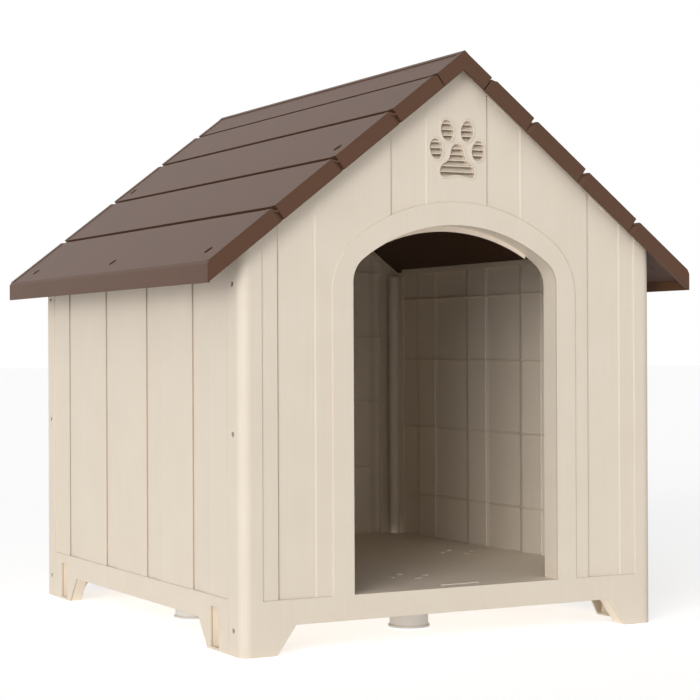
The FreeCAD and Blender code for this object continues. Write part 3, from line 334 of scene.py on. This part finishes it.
@dataclass(frozen=True)
class WallShell:
    """Front, rear and side walls with the paw vent."""

    gables: tuple[str, ...] = ("front_panel", "rear_panel")
    sides: tuple[str, ...] = ("left_side_panel", "right_side_panel")
    vent: str = "paw_vent_louvres"

    def dress(self, nodes: Nodes, finish: PlasticFinish) -> int:
        """Paint the walls, with seam shade measured from their own faces.

        Args:
            nodes: CAD objects by node name.
            finish: The walls' plastic.

        Returns:
            Number of solids painted.
        """
        # painted shade on the plank steps, weaker on the front and rear walls than on the sides
        front = SeamShade(FaceAxis.FRONT, abs(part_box(self.gables[0])[0].y), share=0.30)
        side = SeamShade(FaceAxis.SIDE, abs(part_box(self.sides[0])[0].x))
        gable_paint = finish.build(front, "_gable")
        side_paint = finish.build(side, "_side")
        for name in self.gables + (self.vent,):
            paint(nodes[name], gable_paint)
        for name in self.sides:
            paint(nodes[name], side_paint)
        return len(self.gables) + len(self.sides) + 1


@dataclass(frozen=True)
class Roof:
    """Roof shells, ridge cap and the flat boards under them."""

    shells: tuple[str, ...] = ("roof_panel_left", "roof_panel_right", "ridge_cap")
    boards: tuple[str, ...] = ("roof_liner_left", "roof_liner_right")

    def dress(self, nodes: Nodes, shell: PlasticFinish, board: PlasticFinish) -> int:
        """Paint the roof.

        Args:
            nodes: CAD objects by node name.
            shell: Plastic of the planked shells and the cap.
            board: Plastic of the boards seen from below.

        Returns:
            Number of solids painted.
        """
        shell_paint, board_paint = shell.build(), board.build()
        for name in self.shells:
            paint(nodes[name], shell_paint)
        for name in self.boards:
            paint(nodes[name], board_paint)
        return len(self.shells) + len(self.boards)


@dataclass(frozen=True)
class Underframe:
    """Floor tray and the five round feet."""

    tray: str = "floor_panel"
    foot_start: str = "support_foot"

    def dress(self, nodes: Nodes, tray: PlasticFinish, foot: PlasticFinish) -> int:
        """Paint the floor and the feet.

        Args:
            nodes: CAD objects by node name.
            tray: The floor's plastic.
            foot: The feet's plastic.

        Returns:
            Number of solids painted.
        """
        paint(nodes[self.tray], tray.build())
        foot_paint = foot.build()
        feet = [name for name in nodes if name.startswith(self.foot_start)]
        for name in feet:
            paint(nodes[name], foot_paint)
        return 1 + len(feet)


@dataclass(frozen=True)
class ScrewShape:
    """Sizes of one pan-head screw, as shares of its head's radius and height.

    The thread's pitch is in millimetres and its depth a share of the shank's radius.
    """

    crown: float = 0.45
    recess_length: float = 0.62
    recess_width: float = 0.15
    recess_depth: float = 0.60
    thread_pitch: float = 1.4
    thread_depth: float = 0.10
    head_sides: int = 40
    head_rings: int = 8
    shank_sides: int = 20
    shank_rings: int = 44

    def tree(self, material: bpy.types.Material) -> bpy.types.NodeTree:
        """Build the node tree that sets one screw on every vertex.

        Args:
            material: Finish of the screws.

        Returns:
            The geometry node tree with named size inputs.
        """
        tree = bpy.data.node_groups.new("pan_screws", "GeometryNodeTree")
        face = tree.interface
        face.new_socket(name="Geometry", in_out="INPUT", socket_type="NodeSocketGeometry")
        for name in ("Head Radius", "Head Height", "Shank Radius", "Length"):
            face.new_socket(name=name, in_out="INPUT", socket_type="NodeSocketFloat")
        face.new_socket(name="Axis", in_out="INPUT", socket_type="NodeSocketVector")
        face.new_socket(name="Geometry", in_out="OUTPUT", socket_type="NodeSocketGeometry")
        into = add_node(tree, "NodeGroupInput")
        place = add_node(tree, "GeometryNodeInputPosition")
        spot = add_node(tree, "ShaderNodeSeparateXYZ", in_0=place.outputs[0])
        parts = [self.head(tree, into, spot), self.shank(tree, into, spot)]
        whole = add_node(tree, "GeometryNodeJoinGeometry", in_0=parts)
        turn = add_node(tree, "FunctionNodeAlignRotationToVector", axis="Z",
                        in_Vector=into.outputs["Axis"])
        copies = add_node(tree, "GeometryNodeInstanceOnPoints",
                          in_Points=into.outputs["Geometry"], in_Instance=whole.outputs[0],
                          in_Rotation=turn.outputs[0])
        real = add_node(tree, "GeometryNodeRealizeInstances", in_0=copies.outputs[0])
        steel = add_node(tree, "GeometryNodeSetMaterial", in_Geometry=real.outputs[0],
                         in_Material=material)
        add_node(tree, "NodeGroupOutput", in_0=steel.outputs[0])
        return tree

    def head(self, tree: bpy.types.NodeTree, into: bpy.types.Node,
             spot: bpy.types.Node) -> bpy.types.NodeSocket:
        """Add the domed head with its cross recess; its top lies at zero height.

        Args:
            tree: Tree of the screws.
            into: Its input node.
            spot: Node that gives a vertex's place as x, y and z.

        Returns:
            The head's mesh.
        """
        radius, height = into.outputs["Head Radius"], into.outputs["Head Height"]
        disc = add_node(tree, "GeometryNodeMeshCylinder", in_Vertices=self.head_sides,
                        in_Fill_Segments=self.head_rings, in_Radius=radius, in_Depth=height)

        # dome: the top sinks with the third power of the distance from the axis
        x2, y2 = (add_node(tree, "ShaderNodeMath", operation="POWER", in_0=spot.outputs[side],
                           in_1=2.0) for side in (0, 1))
        square = add_node(tree, "ShaderNodeMath", operation="ADD", in_0=x2.outputs[0],
                          in_1=y2.outputs[0])
        reach = add_node(tree, "ShaderNodeMath", operation="POWER", in_0=square.outputs[0],
                         in_1=0.5)
        ratio = add_node(tree, "ShaderNodeMath", operation="DIVIDE", in_0=reach.outputs[0],
                         in_1=radius)
        share = add_node(tree, "ShaderNodeMath", operation="POWER", in_0=ratio.outputs[0],
                         in_1=3.0)
        sunk = add_node(tree, "ShaderNodeMath", operation="MULTIPLY", in_0=share.outputs[0],
                        in_1=height)
        drop = add_node(tree, "ShaderNodeMath", operation="MULTIPLY", in_0=sunk.outputs[0],
                        in_1=-self.crown)
        down = add_node(tree, "ShaderNodeCombineXYZ", in_2=drop.outputs[0])
        above = add_node(tree, "FunctionNodeCompare", data_type="FLOAT",
                         operation="GREATER_THAN", in_0=spot.outputs[2], in_1=0.0)
        dome = add_node(tree, "GeometryNodeSetPosition", in_Geometry=disc.outputs["Mesh"],
                        in_Selection=above.outputs[0], in_Offset=down.outputs[0])
        half = add_node(tree, "ShaderNodeMath", operation="MULTIPLY", in_0=height, in_1=-0.5)
        shift = add_node(tree, "ShaderNodeCombineXYZ", in_2=half.outputs[0])
        seated = add_node(tree, "GeometryNodeTransform", in_Geometry=dome.outputs[0],
                          in_Translation=shift.outputs[0])

        # cross recess: two bars taken out of the head
        long, thin = (add_node(tree, "ShaderNodeMath", operation="MULTIPLY", in_0=radius,
                               in_1=2.0 * size) for size in (self.recess_length,
                                                             self.recess_width))
        deep = add_node(tree, "ShaderNodeMath", operation="MULTIPLY", in_0=height,
                        in_1=2.0 * self.recess_depth)
        bars = []
        for width, breadth in ((long, thin), (thin, long)):
            size = add_node(tree, "ShaderNodeCombineXYZ", in_0=width.outputs[0],
                            in_1=breadth.outputs[0], in_2=deep.outputs[0])
            bar = add_node(tree, "GeometryNodeMeshCube", in_Size=size.outputs[0])
            bars.append(bar.outputs["Mesh"])
        cut = add_node(tree, "GeometryNodeMeshBoolean", operation="DIFFERENCE",
                       in_Mesh_1=seated.outputs[0], in_Mesh_2=bars)
        return cut.outputs["Mesh"]

    def shank(self, tree: bpy.types.NodeTree, into: bpy.types.Node,
              spot: bpy.types.Node) -> bpy.types.NodeSocket:
        """Add the threaded shank, which hangs below the head.

        Args:
            tree: Tree of the screws.
            into: Its input node.
            spot: Node that gives a vertex's place as x, y and z.

        Returns:
            The shank's mesh.
        """
        height = into.outputs["Head Height"]
        bare = add_node(tree, "ShaderNodeMath", operation="SUBTRACT",
                        in_0=into.outputs["Length"], in_1=height)
        bar = add_node(tree, "GeometryNodeMeshCylinder", in_Vertices=self.shank_sides,
                       in_Side_Segments=self.shank_rings,
                       in_Radius=into.outputs["Shank Radius"], in_Depth=bare.outputs[0])

        # thread: the radius swells and shrinks along the bar
        phase = add_node(tree, "ShaderNodeMath", operation="MULTIPLY", in_0=spot.outputs[2],
                         in_1=2.0 * math.pi / (self.thread_pitch * MM))
        wave = add_node(tree, "ShaderNodeMath", operation="SINE", in_0=phase.outputs[0])
        low = add_node(tree, "ShaderNodeMath", operation="SUBTRACT", in_0=wave.outputs[0],
                       in_1=1.0)
        swell = add_node(tree, "ShaderNodeMath", operation="MULTIPLY", in_0=low.outputs[0],
                         in_1=self.thread_depth * 0.5)
        dx, dy = (add_node(tree, "ShaderNodeMath", operation="MULTIPLY",
                           in_0=spot.outputs[side], in_1=swell.outputs[0]) for side in (0, 1))
        out = add_node(tree, "ShaderNodeCombineXYZ", in_0=dx.outputs[0], in_1=dy.outputs[0])
        thread = add_node(tree, "GeometryNodeSetPosition", in_Geometry=bar.outputs["Mesh"],
                          in_Offset=out.outputs[0])

        half = add_node(tree, "ShaderNodeMath", operation="MULTIPLY", in_0=bare.outputs[0],
                        in_1=0.5)
        middle = add_node(tree, "ShaderNodeMath", operation="ADD", in_0=half.outputs[0],
                          in_1=height)
        down = add_node(tree, "ShaderNodeMath", operation="MULTIPLY", in_0=middle.outputs[0],
                        in_1=-1.0)
        shift = add_node(tree, "ShaderNodeCombineXYZ", in_2=down.outputs[0])
        hung = add_node(tree, "GeometryNodeTransform", in_Geometry=thread.outputs[0],
                        in_Translation=shift.outputs[0])
        return hung.outputs[0]


@dataclass(frozen=True)
class Fastenings:
    """The corner screws and the roof screws, one piece for each group.

    The head fields give a head's height and its shank's radius, as shares of its radius.
    """

    shape: ScrewShape = ScrewShape()
    roof_pitch: float = 37.6
    row_gap: float = 0.03
    corner_head: tuple[float, float] = (0.62, 0.56)
    roof_head: tuple[float, float] = (0.565, 0.478)
    thread_ease: float = 0.98
    corner_start: str = "corner_screws"

    def axis(self, name: str) -> Vector:
        """Outward direction of a group's heads.

        Args:
            name: Node name of the group.

        Returns:
            Unit vector.
        """
        side = -1.0 if name.endswith("left") else 1.0
        if name.startswith(self.corner_start):
            return Vector((side, 0.0, 0.0))
        pitch = math.radians(self.roof_pitch)
        return Vector((side * math.sin(pitch), 0.0, math.cos(pitch)))

    def rows(self, name: str, nodes: Nodes) -> list[list[Vector]]:
        """Split a group's points into its screws.

        Args:
            name: Node name of the group.
            nodes: CAD objects by node name.

        Returns:
            Points of each screw.
        """
        along = 2 if name.startswith(self.corner_start) else 1
        points = sorted((v.co.copy() for v in nodes[name].data.vertices),
                        key=lambda p: p[along])
        rows = [[points[0]]]
        for point in points[1:]:
            if point[along] - rows[-1][-1][along] > self.row_gap:
                rows.append([])
            rows[-1].append(point)
        return rows

    def build(self, nodes: Nodes, steel: SteelFinish) -> int:
        """Set a detailed screw in place of every plain one.

        Args:
            nodes: CAD objects by node name.
            steel: Finish of the screws.

        Returns:
            Number of screws made.
        """
        material = steel.build()
        tree = self.shape.tree(material)
        count = 0
        for name in [n for n in nodes if "screws" in n]:
            axis = self.axis(name)
            across = axis.cross(Vector((0.0, 1.0, 0.0))).normalized()
            tops = []
            for row in self.rows(name, nodes):
                high = [p.dot(axis) for p in row]
                wide = [p.dot(across) for p in row]
                deep = [p.y for p in row]
                radius = (max(wide) - min(wide)) / 2.0
                length = max(high) - min(high)
                tops.append(axis * max(high) + across * (max(wide) + min(wide)) / 2.0
                            + Vector((0.0, (max(deep) + min(deep)) / 2.0, 0.0)))
            head, neck = self.corner_head if axis.z == 0.0 else self.roof_head
            sizes = {"Head Radius": radius, "Head Height": radius * head,
                     "Shank Radius": radius * neck * self.thread_ease,
                     "Length": length, "Axis": axis}
            piece = grown("detail_" + name, tops, tree, sizes)
            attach(piece, BODY)
            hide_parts(name)
            count += len(tops)
        return count


def grown(name: str, points: list[Vector], tree: bpy.types.NodeTree,
          sizes: dict[str, object]) -> bpy.types.Object:
    """Run a node tree on bare points and keep the result as a plain mesh.

    Args:
        name: Name of the piece.
        points: Places given to the tree as vertices.
        tree: Geometry node tree.
        sizes: Values of its named inputs.

    Returns:
        The finished object, at the origin and without modifiers.
    """
    mesh = bpy.data.meshes.new(name)
    mesh.from_pydata([tuple(p) for p in points], [], [])
    piece = bpy.data.objects.new(name, mesh)
    bpy.context.scene.collection.objects.link(piece)
    modifier = piece.modifiers.new("grow", "NODES")
    modifier.node_group = tree
    for item in tree.interface.items_tree:
        if item.item_type == "SOCKET" and item.in_out == "INPUT" and item.name in sizes:
            modifier[item.identifier] = sizes[item.name]
    bpy.context.view_layer.update()
    graph = bpy.context.evaluated_depsgraph_get()
    result = bpy.data.meshes.new_from_object(piece.evaluated_get(graph), depsgraph=graph)
    result.name = name
    piece.modifiers.remove(modifier)
    piece.data = result
    bpy.data.meshes.remove(mesh)
    return piece


# ------------------------------------------------------------------ scene
@dataclass(frozen=True)
class Studio:
    """Camera, floor, backdrop light and lamps.

    A lamp is its name, strength, softness, azimuth and height, as sun() takes them.
    The floor's glow runs from its near value at glow_start metres to its far value at glow_end.
    """

    focal_px: float = 1843.37
    image_px: float = 700.0
    sensor: float = 36.0
    yaw: float = -28.3406
    tilt: float = 0.1465
    roll: float = -0.2629
    eye: tuple[float, float, float] = (-1.3385, -2.5487, 0.3935)
    surround: float = 0.12
    lamps: tuple[tuple[str, float, float, float, float], ...] = (
        ("low_key", 1.34, 28.0, -51.0, 11.0),
        ("high_key", 0.55, 40.0, -45.0, 42.0),
        ("front_fill", 0.14, 34.0, -18.0, 12.0),
        ("top", 0.10, 70.0, 0.0, 82.0),
    )
    lamp_distance: float = 4.0
    view_end: float = 60.0
    floor_radius: float = 60.0
    floor_seen: float = 0.95
    floor_seen_glow: float = 0.62
    floor_bounce: float = 0.88
    glow_near: float = 0.32
    glow_far: float = 0.42
    glow_start: float = 0.42
    glow_end: float = 1.10

    def camera(self) -> bpy.types.Object:
        """Create the camera at the photograph's viewpoint.

        Returns:
            The camera object.
        """
        yaw = math.radians(self.yaw)
        tilt = math.radians(self.tilt)
        roll = math.radians(self.roll)
        back = Vector((math.sin(yaw) * math.cos(tilt), -math.cos(yaw) * math.cos(tilt),
                       -math.sin(tilt)))
        right = Vector((0, 0, 1)).cross(back).normalized()
        up = back.cross(right)
        right_r = right * math.cos(roll) + up * math.sin(roll)
        up_r = -right * math.sin(roll) + up * math.cos(roll)
        matrix = Matrix((right_r, up_r, back)).transposed().to_4x4()
        matrix.translation = Vector(self.eye)
        data = bpy.data.cameras.new("camera")
        data.sensor_width = self.sensor
        data.sensor_fit = "HORIZONTAL"
        data.lens = self.focal_px / self.image_px * self.sensor
        data.clip_end = self.view_end
        camera = bpy.data.objects.new("camera", data)
        bpy.context.scene.collection.objects.link(camera)
        camera.matrix_world = matrix
        bpy.context.scene.camera = camera
        return camera

    def sun(self, name: str, strength: float, softness: float, azimuth: float,
            height: float) -> bpy.types.Object:
        """Add one distant soft lamp.

        Args:
            name: Object name.
            strength: Irradiance in watts per square metre.
            softness: Angular diameter in degrees.
            azimuth: Where it stands, in degrees from the front (-Y) towards +X.
            height: Elevation in degrees.

        Returns:
            The lamp object.
        """
        data = bpy.data.lights.new(name, "SUN")
        data.energy = strength
        data.angle = math.radians(softness)
        lamp = bpy.data.objects.new(name, data)
        bpy.context.scene.collection.objects.link(lamp)
        a, e = math.radians(azimuth), math.radians(height)
        back = Vector((math.sin(a) * math.cos(e), -math.cos(a) * math.cos(e), math.sin(e)))
        lamp.location = back * self.lamp_distance
        lamp.rotation_euler = back.to_track_quat("Z", "Y").to_euler()
        return lamp

    def build(self) -> None:
        """Create camera, lamps, world light and floor."""
        self.camera()
        for lamp in self.lamps:
            self.sun(*lamp)
        world = bpy.data.worlds.new("studio")
        bpy.context.scene.world = world
        world.use_nodes = True
        tree = world.node_tree
        tree.nodes.clear()
        white = (1.0, 1.0, 1.0, 1.0)
        light = add_node(tree, "ShaderNodeBackground", in_Color=white, in_Strength=self.surround)
        seen = add_node(tree, "ShaderNodeBackground", in_Color=white, in_Strength=1.0)
        mix = add_node(tree, "ShaderNodeMixShader", in_0=self.looked_at(tree),
                       in_1=light.outputs[0], in_2=seen.outputs[0])
        add_node(tree, "ShaderNodeOutputWorld", in_Surface=mix.outputs[0])
        self.floor()
        bpy.context.scene.view_settings.view_transform = "Standard"

    def looked_at(self, tree: bpy.types.NodeTree) -> bpy.types.NodeSocket:
        """Add nodes that pick out camera, glossy and transmission rays.

        Args:
            tree: Node tree of the world or of a stage material.

        Returns:
            Socket that is 1 for those rays and 0 for the light itself.
        """
        ray = add_node(tree, "ShaderNodeLightPath")
        either = ray.outputs["Is Camera Ray"]
        for name in ("Is Glossy Ray", "Is Transmission Ray"):
            larger = add_node(tree, "ShaderNodeMath", operation="MAXIMUM", in_0=either,
                              in_1=ray.outputs[name])
            either = larger.outputs[0]
        return either

    def floor(self) -> bpy.types.Object:
        """Create the pale floor disc, which meets the white surround and throws light back up.

        Returns:
            The floor object.
        """
        mesh = bpy.data.meshes.new("floor")
        work = bmesh.new()
        bmesh.ops.create_circle(work, cap_ends=True, segments=128, radius=self.floor_radius)
        work.to_mesh(mesh)
        work.free()
        floor = bpy.data.objects.new("floor", mesh)
        bpy.context.scene.collection.objects.link(floor)
        material = bpy.data.materials.new("floor_paper")
        material.use_nodes = True
        tree = material.node_tree
        tree.nodes.clear()
        # painted light: the floor glows for the light it throws back, less near the object,
        # which stands in for the shade the object casts on the lit floor
        place = add_node(tree, "ShaderNodeNewGeometry")
        away = add_node(tree, "ShaderNodeVectorMath", operation="LENGTH",
                        in_0=place.outputs["Position"])
        spread = add_node(tree, "ShaderNodeMapRange", in_0=away.outputs["Value"],
                          in_1=self.glow_start, in_2=self.glow_end, in_3=self.glow_near,
                          in_4=self.glow_far)
        # one matt white for the light it throws back, one for the eye, which keeps the shadow
        sides = []
        for colour, strength in ((self.floor_bounce, spread.outputs["Result"]),
                                 (self.floor_seen, self.floor_seen_glow)):
            matt = add_node(tree, "ShaderNodeBsdfDiffuse", in_Color=(colour,) * 3 + (1.0,))
            glow = add_node(tree, "ShaderNodeEmission", in_Strength=strength)
            both = add_node(tree, "ShaderNodeAddShader", in_0=matt.outputs[0],
                            in_1=glow.outputs[0])
            sides.append(both.outputs[0])
        mix = add_node(tree, "ShaderNodeMixShader", in_0=self.looked_at(tree), in_1=sides[0],
                       in_2=sides[1])
        add_node(tree, "ShaderNodeOutputMaterial", in_Surface=mix.outputs[0])
        mesh.materials.append(material)
        return floor


def main() -> None:
    """Build the whole scene."""
    logging.basicConfig(level=logging.INFO, format="%(message)s")
    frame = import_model()
    finishes = Finishes()
    nodes = frame["nodes"]
    LOG.info("walls: %d solids painted", WallShell().dress(nodes, finishes.wall))
    LOG.info("roof: %d solids painted", Roof().dress(nodes, finishes.roof, finishes.liner))
    LOG.info("base: %d solids painted", Underframe().dress(nodes, finishes.floor, finishes.foot))
    LOG.info("screws: %d made", Fastenings().build(nodes, finishes.screw))
    Studio().build()


if __name__ == "__main__":
    main()
